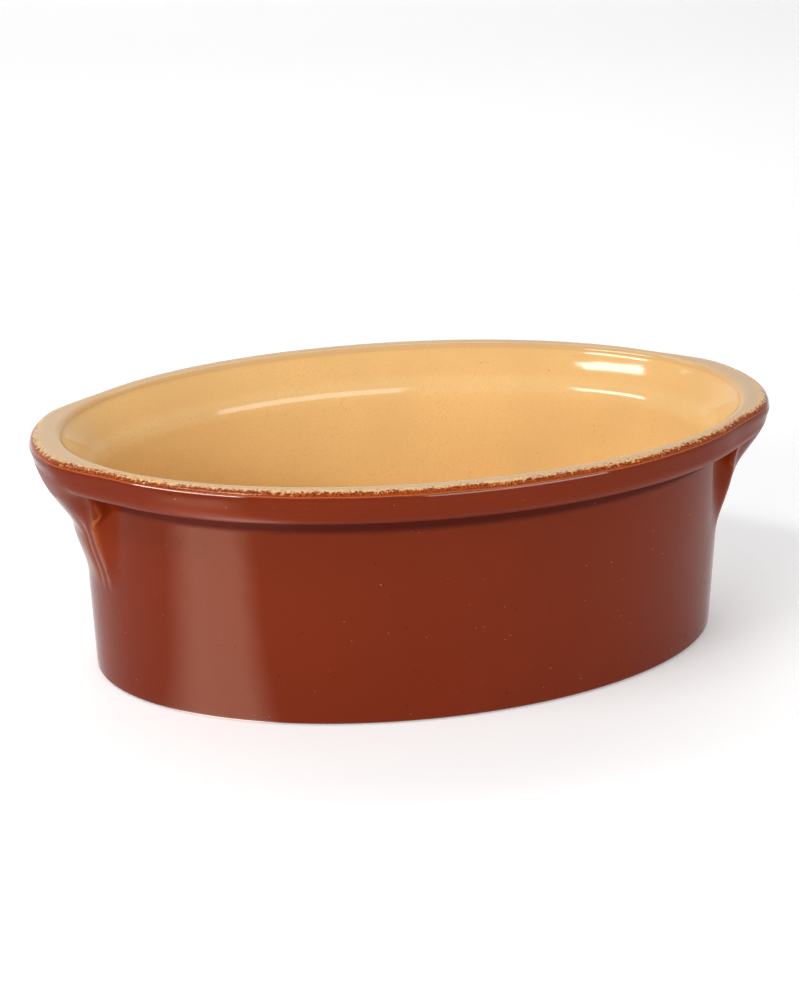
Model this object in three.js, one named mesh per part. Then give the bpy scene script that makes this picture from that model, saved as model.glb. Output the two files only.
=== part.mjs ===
// An oval stoneware baking dish: a pressed clay body with a rolled collar, a fluted lug luted
// under each widened end, a red-brown coat of glaze outside and a cream coat inside.
// Millimetres. X runs along the dish, Y across it, Z up, and the foot stands on Z = 0.
import * as THREE from "three";

// Clay body
const WALL_HALF_LENGTH = 109.65;
const WALL_HALF_WIDTH = 64.1;
const WALL_THICKNESS = 5.6;
const WALL_TAPER = 1;
const FLOOR_THICKNESS = 7;
const FLOOR_CORNER_RADIUS = 14;
const FOOT_RADIUS = 1.8;
const RIM_HEIGHT = 84;

// Rolled collar and rim
const COLLAR_HEIGHT = 10.3;
const COLLAR_OVERHANG = 9.75;
const COLLAR_LOWER_RADIUS = 3.4;
const COLLAR_UPPER_RADIUS = 2.6;
const GROOVE_RADIUS = 3.6;
const RIM_WIDTH = 6.6;
const RIM_INNER_RADIUS = 1.8;
const FLARE_DEPTH = 14;
const FLARE_END_REACH = 2.2;
const SHOULDER_DROP = 5;

// Ears, where the rim widens at the two ends
const EAR_REACH = 5.3;
const EAR_HALF_WIDTH = 22;
const EAR_BLEND_WIDTH = 20;

// Fluted lugs. Their heights are drops below the rim, so a lug stays under its ear.
const LUG_HALF_WIDTH = 21.6;
const LUG_FLANK_WIDTH = 3.6;
const LUG_SQUARENESS = 7;
const LUG_FOOT_DROP = 48;
const LUG_SWELL_DROP = 28;
const LUG_SWELL_SHARE = 0.26;
const LUG_LIP_LOW_DROP = 30;
const LUG_LIP_HIGH_DROP = 10;
const LUG_LIP_SHARE = 0.64;
const LUG_TOP_BLEND = 6;
const LUG_CORNER_DROP = 20;
const LUG_CORNER_SHARE = 0.38;
const FLUTES_PER_SIDE = 2;
const FLUTE_WIDTH = 3;
const FLUTE_DEPTH = 0.5;
const FLUTE_TOP_DROP = 16;
const FLUTE_FADE = 8;
const KNUCKLE_LOW_DROP = 23.5;
const KNUCKLE_HIGH_DROP = 11;
const KNUCKLE_UNDERCUT = 3;
const KNUCKLE_REACH = 2.4;

// Glaze coats
const GLAZE_THICKNESS = 0.5;

// Fineness of the facets
const SIDE_STEPS = 22;
const SIDE_CROWDING = 0.09;
const STATIONS_PER_FLUTE = 4;
const FRONT_STATIONS = 12;
const WALL_STATIONS = 5;

const UNDERSIDE_HEIGHT = RIM_HEIGHT - COLLAR_HEIGHT;
const GROOVE_HEIGHT = UNDERSIDE_HEIGHT - GROOVE_RADIUS;
const SHOULDER_HEIGHT = RIM_HEIGHT - FLARE_DEPTH;
const LUG_FOOT = RIM_HEIGHT - LUG_FOOT_DROP;
const LUG_SWELL = RIM_HEIGHT - LUG_SWELL_DROP;
const LUG_LIP_LOW = RIM_HEIGHT - LUG_LIP_LOW_DROP;
const LUG_LIP_HIGH = RIM_HEIGHT - LUG_LIP_HIGH_DROP;
const LUG_CORNER = RIM_HEIGHT - LUG_CORNER_DROP;
const FLUTE_TOP = RIM_HEIGHT - FLUTE_TOP_DROP;
const KNUCKLE_LOW = RIM_HEIGHT - KNUCKLE_LOW_DROP;
const KNUCKLE_HIGH = RIM_HEIGHT - KNUCKLE_HIGH_DROP;

// A row of the section: how far it stands outside the wall line, its height, and the shares of
// the ear's reach and of the flare's extra reach that it takes at the two ends.
const makeRow = (out, height, ear = 0, flare = 0) => ({ out, height, ear, flare });

// Rows along an arc of the section, from one angle to another.
function arcRows(centreOut, centreHeight, radius, startDegrees, endDegrees, steps, ears) {
  const rows = [];
  for (let i = 0; i <= steps; i++) {
    const share = i / steps;
    const angle = THREE.MathUtils.degToRad(THREE.MathUtils.lerp(startDegrees, endDegrees, share));
    const ear = THREE.MathUtils.lerp(ears[0], ears[1], share);
    rows.push(makeRow(centreOut + radius * Math.cos(angle), centreHeight + radius * Math.sin(angle), ear));
  }
  return rows;
}

// How far the leaning wall stands inside its top line at a height.
function wallLean(height) {
  return (-WALL_TAPER * (GROOVE_HEIGHT - height)) / (GROOVE_HEIGHT - FOOT_RADIUS);
}

// The outside of the clay, from the edge of the foot to the middle of the rim's outer edge.
function outsideRows() {
  const foot = arcRows(-WALL_TAPER - FOOT_RADIUS, FOOT_RADIUS, FOOT_RADIUS, -90, 0, 2, [0, 0]);
  const wall = [];
  for (let i = 0; i < WALL_STATIONS; i++) {
    const height = THREE.MathUtils.lerp(LUG_FOOT, GROOVE_HEIGHT, i / WALL_STATIONS);
    wall.push(makeRow(wallLean(height), height));
  }
  const groove = arcRows(GROOVE_RADIUS, GROOVE_HEIGHT, GROOVE_RADIUS, 180, 90, 2, [0, 0.4]);
  const lowerCentre = COLLAR_OVERHANG - COLLAR_LOWER_RADIUS;
  const lowerHeight = UNDERSIDE_HEIGHT + COLLAR_LOWER_RADIUS;
  const lower = arcRows(lowerCentre, lowerHeight, COLLAR_LOWER_RADIUS, -90, 0, 2, [0.45, 0.8]);
  return { foot, wall, groove, lower };
}

// The rim's rounded outer edge, its flat top and its rounded inner edge.
function rimRows() {
  const upperCentre = COLLAR_OVERHANG - COLLAR_UPPER_RADIUS;
  const outer = arcRows(upperCentre, RIM_HEIGHT - COLLAR_UPPER_RADIUS, COLLAR_UPPER_RADIUS, 0, 90, 2, [1, 1]);
  const innerCentre = COLLAR_OVERHANG - RIM_WIDTH + RIM_INNER_RADIUS;
  const inner = arcRows(innerCentre, RIM_HEIGHT - RIM_INNER_RADIUS, RIM_INNER_RADIUS, 90, 170, 2, [0, 0]);
  inner.forEach((row) => (row.flare = 1));
  return { outer, inner };
}

// The inside of the clay, from under the rim over the shoulder to the edge of the flat floor.
function insideRows(rimEdge) {
  const middle = makeRow((rimEdge.out - WALL_THICKNESS) / 2, (rimEdge.height + SHOULDER_HEIGHT) / 2, 0, 0.45);
  const shoulder = makeRow(-WALL_THICKNESS + 0.8, SHOULDER_HEIGHT, 0, 0.1);
  const wallTop = makeRow(-WALL_THICKNESS, SHOULDER_HEIGHT - SHOULDER_DROP);
  const cornerOut = -WALL_THICKNESS - WALL_TAPER - FLOOR_CORNER_RADIUS;
  const cornerHeight = FLOOR_THICKNESS + FLOOR_CORNER_RADIUS;
  const corner = arcRows(cornerOut, cornerHeight, FLOOR_CORNER_RADIUS, 0, -90, 3, [0, 0]);
  return [middle, shoulder, wallTop, ...corner];
}

// A column of the surface: its eccentric angle and, on a lug, where it lies across the lug.
function makeColumn(angle, lug = null) {
  const across = WALL_HALF_WIDTH * Math.sin(angle);
  const along = WALL_HALF_LENGTH * Math.cos(angle);
  const normal = new THREE.Vector2(along / WALL_HALF_LENGTH ** 2, across / WALL_HALF_WIDTH ** 2).normalize();
  return { along, across, normal, lug, end: Math.sign(along) };
}

// Where the columns of a lug lie across it: its plain front, the flutes beside it, then its flanks.
function lugStations() {
  const fluted = FLUTES_PER_SIDE * FLUTE_WIDTH;
  const front = LUG_HALF_WIDTH - fluted;
  const stations = [];
  for (let i = 0; i <= FRONT_STATIONS; i++) {
    stations.push({ across: THREE.MathUtils.lerp(-front, front, i / FRONT_STATIONS), share: 1, flank: 0 });
  }
  const steps = FLUTES_PER_SIDE * STATIONS_PER_FLUTE;
  for (const side of [-1, 1]) {
    for (let i = 1; i <= steps; i++) {
      stations.push({ across: side * (front + (fluted * i) / steps), share: 1, flank: 0 });
    }
    const edge = side * LUG_HALF_WIDTH;
    stations.push({ across: edge + (side * LUG_FLANK_WIDTH) / 2, share: 0.5, flank: side });
    stations.push({ across: edge + side * LUG_FLANK_WIDTH, share: 0, flank: 0 });
  }
  return stations.sort((a, b) => a.across - b.across);
}

// All columns round the dish, from the near edge of the right lug and round to it again.
function makeColumns() {
  const stations = lugStations();
  const edgeAngle = Math.asin(stations[stations.length - 1].across / WALL_HALF_WIDTH);
  const columns = [];
  for (const turn of [0, Math.PI]) {
    for (const station of stations) {
      const angle = Math.asin(station.across / WALL_HALF_WIDTH);
      const side = turn ? -1 : 1;
      columns.push(makeColumn(turn + angle, { ...station, flank: side * station.flank }));
    }
    for (let i = 1; i < SIDE_STEPS; i++) {
      const share = i / SIDE_STEPS - SIDE_CROWDING * Math.sin((2 * Math.PI * i) / SIDE_STEPS);
      columns.push(makeColumn(turn + THREE.MathUtils.lerp(edgeAngle, Math.PI - edgeAngle, share)));
    }
  }
  return columns;
}

// The share of the ear's reach at a column: full across the end, blended out towards the sides.
function earShare(column) {
  const across = Math.abs(column.across + COLLAR_OVERHANG * column.normal.y);
  return 1 - THREE.MathUtils.smoothstep(across, EAR_HALF_WIDTH, EAR_HALF_WIDTH + EAR_BLEND_WIDTH);
}

// A point of the bare clay.
function clayPoint(column, row) {
  const ear = row.ear * EAR_REACH * earShare(column) * column.end;
  const flare = (row.flare * FLARE_END_REACH * column.along) / WALL_HALF_LENGTH;
  const x = column.along + row.out * column.normal.x + ear + flare;
  return new THREE.Vector3(x, column.across + row.out * column.normal.y, row.height);
}

// The share of the way from the wall to the collar that a lug's front has reached at a height.
function frontReach(height) {
  const swell = THREE.MathUtils.smoothstep(height, LUG_FOOT, LUG_SWELL);
  const lip = THREE.MathUtils.smoothstep(height, LUG_LIP_LOW, LUG_LIP_HIGH);
  const top = UNDERSIDE_HEIGHT + COLLAR_LOWER_RADIUS;
  const close = THREE.MathUtils.smoothstep(height, top - LUG_TOP_BLEND, top);
  const rest = 1 - LUG_SWELL_SHARE - LUG_LIP_SHARE;
  return LUG_SWELL_SHARE * swell + LUG_LIP_SHARE * lip + rest * close;
}

// The same share at a lug's two corners, which run up under the collar.
function cornerReach(height) {
  return LUG_CORNER_SHARE * THREE.MathUtils.smoothstep(height, LUG_FOOT, LUG_CORNER);
}

// The wall at a column and a height, carried out towards the collar by a share of the way.
function carriedPoint(column, topRow, height, reach) {
  const top = clayPoint(column, topRow);
  const point = clayPoint(column, makeRow(wallLean(height), height));
  point.x = THREE.MathUtils.lerp(point.x, top.x, reach);
  point.y = THREE.MathUtils.lerp(point.y, top.y, reach);
  return point;
}

// How deep the flutes are at a column and a height.
function fluteDepth(column, height) {
  const beside = Math.abs(column.lug.across) - LUG_HALF_WIDTH + FLUTES_PER_SIDE * FLUTE_WIDTH;
  if (beside <= 0 || column.lug.flank !== 0) {
    return 0;
  }
  const low = THREE.MathUtils.smoothstep(height, LUG_FOOT, LUG_FOOT + FLUTE_FADE);
  const high = 1 - THREE.MathUtils.smoothstep(height, FLUTE_TOP - FLUTE_FADE, FLUTE_TOP);
  return FLUTE_DEPTH * Math.abs(Math.sin((Math.PI * beside) / FLUTE_WIDTH)) * low * high;
}

// The small knuckle that swells from a lug's flank under the collar.
function knuckleSwell(column, height) {
  const middle = (KNUCKLE_LOW + KNUCKLE_HIGH) / 2;
  const low = THREE.MathUtils.smoothstep(height, KNUCKLE_LOW, KNUCKLE_LOW + KNUCKLE_UNDERCUT);
  const high = 1 - THREE.MathUtils.smoothstep(height, middle, KNUCKLE_HIGH);
  return column.lug.flank * KNUCKLE_REACH * low * high;
}

const outside = outsideRows();
const rim = rimRows();
const inside = insideRows(rim.inner[rim.inner.length - 1]);
const rows = [
  ...outside.foot,
  ...outside.wall,
  ...outside.groove,
  ...outside.lower,
  ...rim.outer,
  ...rim.inner,
  ...inside,
];
const columns = makeColumns();
const glazeFootRow = 1;
const lugFootRow = rows.indexOf(outside.wall[0]);
const lugTopRow = rows.indexOf(outside.lower[2]);
const lugCornerRow = rows.indexOf(outside.lower[0]);
const glazeLineRow = rows.indexOf(rim.outer[1]);
const lastRow = rows.length - 1;
const floorCentre = new THREE.Vector3(0, 0, FLOOR_THICKNESS);
const footCentre = new THREE.Vector3(0, 0, 0);

// The clay surface.
const clay = rows.map((row) => columns.map((column) => clayPoint(column, row)));

// A point of a lug's face: its front profile, passing to its corner profile towards the two sides.
function lugFacePoint(r, c) {
  const column = columns[c];
  const topRow = rows[lugTopRow];
  const frontShare = (r - lugFootRow) / (lugTopRow - lugFootRow);
  const frontHeight = THREE.MathUtils.lerp(LUG_FOOT, topRow.height, frontShare);
  const front = carriedPoint(column, topRow, frontHeight, frontReach(frontHeight));
  const cornerShare = (r - lugFootRow) / (lugCornerRow - lugFootRow);
  const cornerHeight = THREE.MathUtils.lerp(LUG_FOOT, UNDERSIDE_HEIGHT, cornerShare);
  const carried = carriedPoint(column, topRow, cornerHeight, cornerReach(cornerHeight));
  const corner = r < lugCornerRow ? carried : clay[r][c];
  const aside = Math.min(Math.abs(column.lug.across) / LUG_HALF_WIDTH, 1) ** LUG_SQUARENESS;
  const point = front.lerp(corner, aside);
  point.x -= column.end * fluteDepth(column, point.z);
  return point;
}

// Whether a point of the surface lies off the lugs or on the edge of one.
function isBare(r, c) {
  const lug = columns[c].lug;
  if (!lug || lug.share === 0 || r <= lugFootRow || r >= lugTopRow) {
    return true;
  }
  return r >= lugCornerRow && Math.abs(lug.across) >= LUG_HALF_WIDTH;
}

// The same surface with the lugs set on it.
const dressed = rows.map((row, r) =>
  columns.map((column, c) => {
    if (isBare(r, c)) {
      return clay[r][c];
    }
    const face = lugFacePoint(r, c);
    const point = clay[r][c].clone().lerp(face, column.lug.share);
    point.y += knuckleSwell(column, face.z);
    return point;
  }),
);

// The surface of the glaze, one coat's thickness off the dressed surface.
function glazePoint(r, c) {
  const count = columns.length;
  const after = dressed[r][(c + 1) % count];
  const before = dressed[r][(c + count - 1) % count];
  const next = r === lastRow ? floorCentre : dressed[r + 1][c];
  const round = new THREE.Vector3().subVectors(after, before);
  const along = new THREE.Vector3().subVectors(next, dressed[r - 1][c]);
  const normal = round.cross(along).normalize();
  return dressed[r][c].clone().addScaledVector(normal, GLAZE_THICKNESS);
}
const glazed = rows.map((row, r) => (r < glazeFootRow ? null : columns.map((column, c) => glazePoint(r, c))));
const glazedCentre = floorCentre.clone().setZ(FLOOR_THICKNESS + GLAZE_THICKNESS);

// Triangles gathered into one closed surface.
class Surface {
  constructor() {
    this.positions = [];
  }

  triangle(a, b, c) {
    for (const point of [a, b, c]) {
      this.positions.push(point.x, point.y, point.z);
    }
  }

  // The band between two rings of points, seen from the side that the first turns round.
  band(lower, upper, flip = false) {
    for (let i = 0; i < lower.length; i++) {
      const j = (i + 1) % lower.length;
      if (flip) {
        this.triangle(lower[i], upper[j], lower[j]);
        this.triangle(lower[i], upper[i], upper[j]);
      } else {
        this.triangle(lower[i], lower[j], upper[j]);
        this.triangle(lower[i], upper[j], upper[i]);
      }
    }
  }

  // The flat cap from a ring to a point in its middle.
  cap(ring, centre, flip = false) {
    for (let i = 0; i < ring.length; i++) {
      const j = (i + 1) % ring.length;
      if (flip) {
        this.triangle(ring[j], ring[i], centre);
      } else {
        this.triangle(ring[i], ring[j], centre);
      }
    }
  }

  geometry() {
    const geometry = new THREE.BufferGeometry();
    geometry.setAttribute("position", new THREE.Float32BufferAttribute(this.positions, 3));
    geometry.computeVertexNormals();
    return geometry;
  }
}

function bodyGeometry() {
  const surface = new Surface();
  for (let r = 0; r < lastRow; r++) {
    surface.band(clay[r], clay[r + 1]);
  }
  surface.cap(clay[lastRow], floorCentre);
  surface.cap(clay[0], footCentre, true);
  return surface.geometry();
}

// A lug: its face over the patch of clay that it is luted to. The two meet round the patch's edge.
function lugGeometry(firstColumn, lastColumn) {
  const surface = new Surface();
  const onEdge = (r, c) => dressed[r][c] === clay[r][c];
  for (let r = lugFootRow; r < lugTopRow; r++) {
    for (let c = firstColumn; c < lastColumn; c++) {
      const halves = [
        [[r, c], [r, c + 1], [r + 1, c + 1]],
        [[r, c], [r + 1, c + 1], [r + 1, c]],
      ];
      for (const half of halves) {
        if (half.every(([i, j]) => onEdge(i, j))) {
          continue;
        }
        surface.triangle(...half.map(([i, j]) => dressed[i][j]));
        surface.triangle(...half.map(([i, j]) => clay[i][j]).reverse());
      }
    }
  }
  return surface.geometry();
}

function outerGlazeGeometry() {
  const surface = new Surface();
  surface.band(dressed[glazeFootRow], glazed[glazeFootRow]);
  for (let r = glazeFootRow; r < glazeLineRow; r++) {
    surface.band(glazed[r], glazed[r + 1]);
    surface.band(dressed[r], dressed[r + 1], true);
  }
  surface.band(glazed[glazeLineRow], dressed[glazeLineRow]);
  return surface.geometry();
}

function linerGlazeGeometry() {
  const surface = new Surface();
  surface.band(glazed[glazeLineRow], dressed[glazeLineRow], true);
  for (let r = glazeLineRow; r < lastRow; r++) {
    surface.band(glazed[r], glazed[r + 1]);
    surface.band(dressed[r], dressed[r + 1], true);
  }
  surface.cap(glazed[lastRow], glazedCentre);
  surface.cap(dressed[lastRow], floorCentre, true);
  return surface.geometry();
}

function bareClayMaterial() {
  return new THREE.MeshStandardMaterial({ color: 0xcaa184, roughness: 0.85, metalness: 0 });
}

function lugClayMaterial() {
  return new THREE.MeshStandardMaterial({ color: 0xc0967a, roughness: 0.85, metalness: 0 });
}

function brownGlazeMaterial() {
  return new THREE.MeshStandardMaterial({ color: 0x7a3422, roughness: 0.12, metalness: 0 });
}

function creamGlazeMaterial() {
  return new THREE.MeshStandardMaterial({ color: 0xdcaa68, roughness: 0.15, metalness: 0 });
}

function addPiece(group, name, geometry, material) {
  const mesh = new THREE.Mesh(geometry, material);
  mesh.name = name;
  group.add(mesh);
}

const stationCount = lugStations().length;
const leftStart = columns.length / 2;
const group = new THREE.Group();
group.name = "oval_baking_dish";
addPiece(group, "stoneware_body", bodyGeometry(), bareClayMaterial());
addPiece(group, "right_lug", lugGeometry(0, stationCount - 1), lugClayMaterial());
addPiece(group, "left_lug", lugGeometry(leftStart, leftStart + stationCount - 1), lugClayMaterial());
addPiece(group, "outer_glaze", outerGlazeGeometry(), brownGlazeMaterial());
addPiece(group, "liner_glaze", linerGlazeGeometry(), creamGlazeMaterial());

export default group;
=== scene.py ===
"""Oval stoneware baking dish: its clay, its two fluted lugs and its two coats of glaze."""

import math
from collections import namedtuple

import bmesh
import bpy
from bpy.props import FloatProperty, FloatVectorProperty, IntProperty, PointerProperty
from mathutils import Matrix, Vector


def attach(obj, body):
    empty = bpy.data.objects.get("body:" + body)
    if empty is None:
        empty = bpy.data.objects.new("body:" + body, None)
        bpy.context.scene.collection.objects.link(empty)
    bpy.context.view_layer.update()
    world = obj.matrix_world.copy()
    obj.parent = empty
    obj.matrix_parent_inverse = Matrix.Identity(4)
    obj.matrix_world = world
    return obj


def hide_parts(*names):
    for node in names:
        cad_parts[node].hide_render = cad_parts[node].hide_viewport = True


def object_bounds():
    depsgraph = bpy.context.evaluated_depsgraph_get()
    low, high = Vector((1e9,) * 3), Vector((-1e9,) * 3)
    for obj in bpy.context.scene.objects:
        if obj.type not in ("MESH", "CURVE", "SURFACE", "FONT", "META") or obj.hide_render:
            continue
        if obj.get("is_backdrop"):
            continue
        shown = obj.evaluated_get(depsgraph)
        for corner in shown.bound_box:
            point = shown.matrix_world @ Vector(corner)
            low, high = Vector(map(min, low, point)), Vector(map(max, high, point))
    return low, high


bl_info = {
    "name": "Oval Baking Dish",
    "version": (1, 0, 0),
    "blender": (4, 5, 0),
    "location": "View3D > Sidebar > Dish",
    "description": "Builds an oval stoneware baking dish with fluted lugs and two coats of glaze",
    "category": "Add Mesh",
}

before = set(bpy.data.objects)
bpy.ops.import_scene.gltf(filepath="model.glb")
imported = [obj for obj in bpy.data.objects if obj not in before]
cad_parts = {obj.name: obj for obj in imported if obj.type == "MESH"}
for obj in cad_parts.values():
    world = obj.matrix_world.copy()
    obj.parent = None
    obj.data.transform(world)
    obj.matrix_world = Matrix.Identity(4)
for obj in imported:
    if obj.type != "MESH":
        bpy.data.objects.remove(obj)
CAD_LOW, CAD_HIGH = (corner.copy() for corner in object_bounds())


# Settings


def length(name, description, default):
    """A length in metres that a user may change."""
    return FloatProperty(name=name, description=description, default=default, unit="LENGTH", precision=5)


def colour(name, description, default):
    """A colour, in linear light."""
    return FloatVectorProperty(
        name=name, description=description, default=default, subtype="COLOR", min=0.0, max=1.0
    )


class DishShape(bpy.types.PropertyGroup):
    """Sizes of the clay and of the coats."""

    wall_half_length: length("Wall half length", "Middle to the wall's top line, lengthwise", 0.10965)
    wall_half_width: length("Wall half width", "Middle to the wall's top line, across", 0.0641)
    wall_thickness: length("Wall thickness", "Thickness of the clay wall", 0.0056)
    wall_taper: length("Wall taper", "How far the wall leans in from its top to its foot", 0.001)
    floor_thickness: length("Floor thickness", "Thickness of the clay floor", 0.007)
    floor_corner: length("Floor corner", "Radius inside, between the wall and the floor", 0.014)
    foot_radius: length("Foot radius", "Rounding of the bare foot", 0.0018)
    rim_height: length("Rim height", "Height of the clay rim", 0.084)
    collar_height: length("Collar height", "Height of the rolled collar", 0.0103)
    collar_overhang: length("Collar overhang", "How far the collar stands outside the wall", 0.00975)
    collar_lower: length("Collar lower radius", "Rounding of the collar's lower edge", 0.0034)
    collar_upper: length("Collar upper radius", "Rounding of the rim's outer edge", 0.0026)
    groove_radius: length("Groove radius", "Hollow between the wall and the collar", 0.0055)
    rim_width: length("Rim width", "Width of the rim, over its roundings", 0.0066)
    rim_inner: length("Rim inner radius", "Rounding of the rim's inner edge", 0.0024)
    flare_depth: length("Flare depth", "Height of the flared band under the rim, inside", 0.014)
    flare_end_reach: length("Flare end reach", "How much further the flare opens at the two ends", 0.0022)
    shoulder_radius: length("Shoulder radius", "Rounding between the flare and the inner wall", 0.004)
    ear_reach: length("Ear reach", "How far the rim widens at the two ends", 0.0053)
    ear_half_width: length("Ear half width", "Half the width of an ear at its full reach", 0.022)
    ear_blend: length("Ear blend", "Width over which an ear runs out", 0.02)
    lug_half_width: length("Lug half width", "Half the width of a lug's face", 0.0216)
    lug_flank: length("Lug flank", "Width of a lug's sloping flank", 0.0036)
    flank_runout: length("Flank run-out", "Width over which a flank's foot runs out on the wall", 0.005)
    lug_squareness: FloatProperty(
        name="Lug squareness", description="How square a lug is in plan", default=7.0, min=1.0, max=12.0
    )
    lug_foot: length("Lug foot", "Height at which a lug leaves the wall", 0.036)
    lug_swell_height: length("Lug swell height", "Height at which a lug's lower swell is full", 0.056)
    lug_lip_low: length("Lug lip low", "Height at which a lug's lip starts to swell", 0.054)
    lug_lip_high: length("Lug lip high", "Height at which a lug's lip is full", 0.074)
    lug_top_blend: length("Lug top blend", "Height over which a lug runs out on the collar", 0.006)
    lug_corner_height: length("Lug corner height", "Height at which a lug's corners are full", 0.064)
    flutes_per_side: IntProperty(
        name="Flutes per side", description="Flutes beside a lug's plain front", default=2, min=1, max=6
    )
    flute_width: length("Flute width", "Width of a flute", 0.003)
    flute_depth: length("Flute depth", "Depth of a flute", 0.0005)
    flute_top: length("Flute top", "Height at which the flutes have run out", 0.068)
    flute_fade: length("Flute fade", "Height over which the flutes run out", 0.008)
    knuckle_low: length("Knuckle low", "Lower edge of the small knuckle on a lug's flank", 0.0605)
    knuckle_high: length("Knuckle high", "Upper end of a knuckle", 0.073)
    knuckle_undercut: length("Knuckle undercut", "Height of a knuckle's steep lower edge", 0.003)
    knuckle_reach: length("Knuckle reach", "How far a knuckle swells from the flank", 0.0016)
    coat: length("Coat", "Thickness of a coat of glaze", 0.00049)


class DishFinish(bpy.types.PropertyGroup):
    """Colours of the clay and of the glazes, with painted shade in the groove under the collar, in the lugs'
    flank hollows and on the rim.
    """

    brown: colour("Brown glaze", "The red-brown coat where it lies thick", (0.185, 0.019, 0.0038))
    # Painted shade: the pooled coat in the groove under the collar is darkened to stand in for the collar's
    # shade
    brown_pool_shade: colour("Deep brown", "The red-brown coat where it has pooled", (0.07, 0.004, 0.0008))
    amber: colour("Amber break", "The brown coat where it runs thin over an edge", (0.46, 0.11, 0.025))
    # Painted shade and bounced light: the deeper red of the flank's hollow stands in for its shading
    flank_hollow_shade: colour("Painted flank shade", "The brown coat in the hollow of a lug's flank", (0.19, 0.02, 0.002))
    rust: colour("Rust band", "The brown coat at the rim's outer edge", (0.43, 0.065, 0.001))
    rust_deep: colour("Deep rust", "The darker mottling of the rust band", (0.15, 0.016, 0.001))
    cream: colour("Cream glaze", "The ochre cream coat", (0.92, 0.63, 0.28))
    # Partly painted shade: the darker, greyer cream of the rim stands for the thin coat and for the rim's
    # shading
    rim_cream_and_shade: colour("Pale cream", "The cream coat where it lies thin on the rim", (0.53, 0.34, 0.182))
    fleck: colour("Iron fleck", "The dark flecks in both coats", (0.035, 0.012, 0.006))
    pinhole: colour("Pinhole", "The pale clay that shows through a pinhole", (0.5, 0.24, 0.15))
    clay: colour("Bare clay", "The fired clay of the foot", (0.60, 0.36, 0.24))


class DishStage(bpy.types.PropertyGroup):
    """The floor, the light and a patch of floor that paints a reflection in the glaze."""

    floor: colour("Floor", "The pale floor and backdrop", (0.94, 0.94, 0.94))
    glow: FloatProperty(
        name="Glow", description="What the floor adds to its light where it is seen", default=0.22, min=0.0
    )
    # Painted reflection: a patch of floor that glows only for glossy rays, to put a bright band on the glaze
    painted_reflection_glow: FloatProperty(
        name="Painted reflection", description="Light of the patch of floor that the glaze mirrors", default=5.2, min=0.0
    )
    sky: FloatProperty(name="Sky", description="Even light from all round", default=0.33, min=0.0)


# The section of the dish, in rows from the foot over the rim to the floor

# A distance from the rim's seam that is off the rim, and a distance at which points count as one
FAR, TOUCH = 0.02, 1e-6
# How far a row stands off the wall line, its height, its shares of the ear and the flare, how far up a lug's
# front and corner it lies, its distance from the rim's seam, and its share of the coat
Row = namedtuple("Row", "out height ear flare lug rim coat", defaults=(0.0, 0.0, None, -FAR, 1.0))
# A column's place on the wall's top line, the way the wall faces there, its end, and its place across a lug
Column = namedtuple("Column", "along across normal_x normal_y end station")
# Shares of a lug's reach in its lower swell, its lip and its corners, and where a corner turns to the collar
LUG_SWELL_SHARE, LUG_LIP_SHARE, LUG_CORNER_SHARE = 0.26, 0.64, 0.38
LUG_CORNER_RUN = 0.875
# The angle on the rim's outer edge where the coats meet, and how near it the next rows lie, in degrees
SEAM_ANGLE, SEAM_HOLD = 45, 0.5
# Shares of the ear's reach in the groove and on the collar's lower edge
GROOVE_EARS, COLLAR_EARS = (0.0, 0.4), (0.45, 0.8)
# Rows of the foot without a coat, and the coat's share on the rows where it starts
FOOT_BARE_ROWS, FOOT_COAT = 4, (0.3, 0.7, 0.93)
# The flare inside: the angle at which the rim's edge turns into it, its hollow, and its foot on the shoulder
FLARE_ANGLE, FLARE_HOLLOW, SHOULDER_OUT, SHOULDER_FLARE = 162, 0.0009, 0.0006, 0.1
# Rows along each stretch of the section
ROUND_STEPS, EDGE_STEPS, CORNER_STEPS = 8, 7, 10
FOOT_WALL_STEPS, LUG_WALL_STEPS, UNDERSIDE_STEPS, RIM_STEPS, LINER_STEPS = 9, 20, 4, 5, 14
# Columns along each stretch of the oval, and how they crowd towards the lugs
SIDE_COLUMNS, FRONT_COLUMNS, FLUTE_COLUMNS, FLANK_COLUMNS = 118, 36, 8, 8
SIDE_CROWDING = 0.085
# Rings of faces that close the middle of the coat, of the clay's floor and of its foot
COAT_RINGS, FLOOR_RINGS, FOOT_RINGS = 12, 4, 8


def mix(low, high, share):
    """The value a share of the way from low to high."""
    return low + (high - low) * share


def smooth(value, low, high):
    """0 below low, 1 above high and an even S between."""
    share = min(max((value - low) / (high - low), 0.0), 1.0)
    return share * share * (3.0 - 2.0 * share)


def arc(out, height, radius, start, end, steps, ears=(0.0, 0.0)):
    """Rows along an arc of the section, both ends included."""
    rows = []
    for i in range(steps + 1):
        share = i / steps
        angle = math.radians(mix(start, end, share))
        point = (out + radius * math.cos(angle), height + radius * math.sin(angle))
        rows.append(Row(*point, ear=mix(*ears, share)))
    return rows


def mix_rows(first, last, share):
    """The row a share of the way from one row to another."""
    return Row(*(mix(a, b, share) for a, b in zip(first[:4], last[:4])))


def between(first, last, steps):
    """Rows on the straight line between two rows, without its ends."""
    return [mix_rows(first, last, i / steps) for i in range(1, steps)]


def underside(dish):
    """Height of the collar's underside."""
    return dish.rim_height - dish.collar_height


def groove_foot(dish):
    """Height at which the wall passes into the groove under the collar."""
    return underside(dish) - dish.groove_radius


def corner_height(dish, r):
    """Height at which a row crosses a lug's corner."""
    return mix(dish.lug_foot, underside(dish), min(r.lug[1], 1.0))


def wall_lean(dish, height):
    """How far the leaning wall stands inside its top line at a height."""
    groove = groove_foot(dish)
    return -dish.wall_taper * (groove - height) / (groove - dish.foot_radius)


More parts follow.
